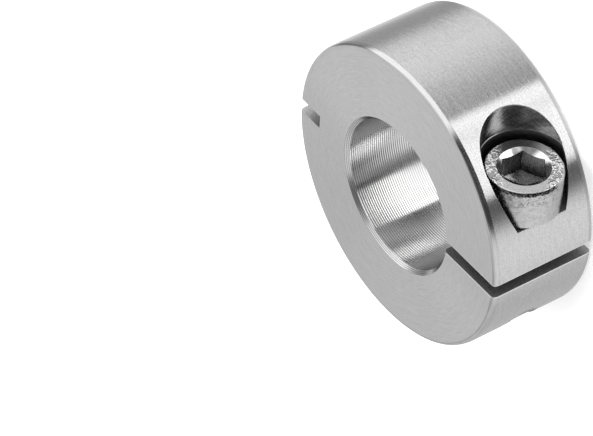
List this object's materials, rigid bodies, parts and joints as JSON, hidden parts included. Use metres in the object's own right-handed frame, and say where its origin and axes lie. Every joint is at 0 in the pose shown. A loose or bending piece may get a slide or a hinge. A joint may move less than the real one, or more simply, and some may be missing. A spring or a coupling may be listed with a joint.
{
  "type": "clamping ring",
  "caption": "Slit one-piece steel clamping ring that a socket head cap screw draws tight round a shaft.",
  "frame": {"origin": "centre of the bore on the lower face", "axes": "+Z along the bore, +X through the middle of the slit, +Y towards the head of the screw"},
  "size_m": [0.04, 0.04, 0.015],
  "materials": {
    "ring_steel": "turned stainless steel, fine lathe marks, bright",
    "screw_steel": "cold-formed stainless steel, slightly mottled"
  },
  "bodies": {
    "ring": {"ring": "ring_steel"},
    "screw": {"clamp_screw": "screw_steel"}
  },
  "joints": [
    {"name": "screw_turn", "type": "hinge", "parent": "ring", "child": "screw", "pos_m": [0.01455, 0, 0.0075], "axis": [0, 1, 0], "range_deg": [-648, 2916]}
  ]
}
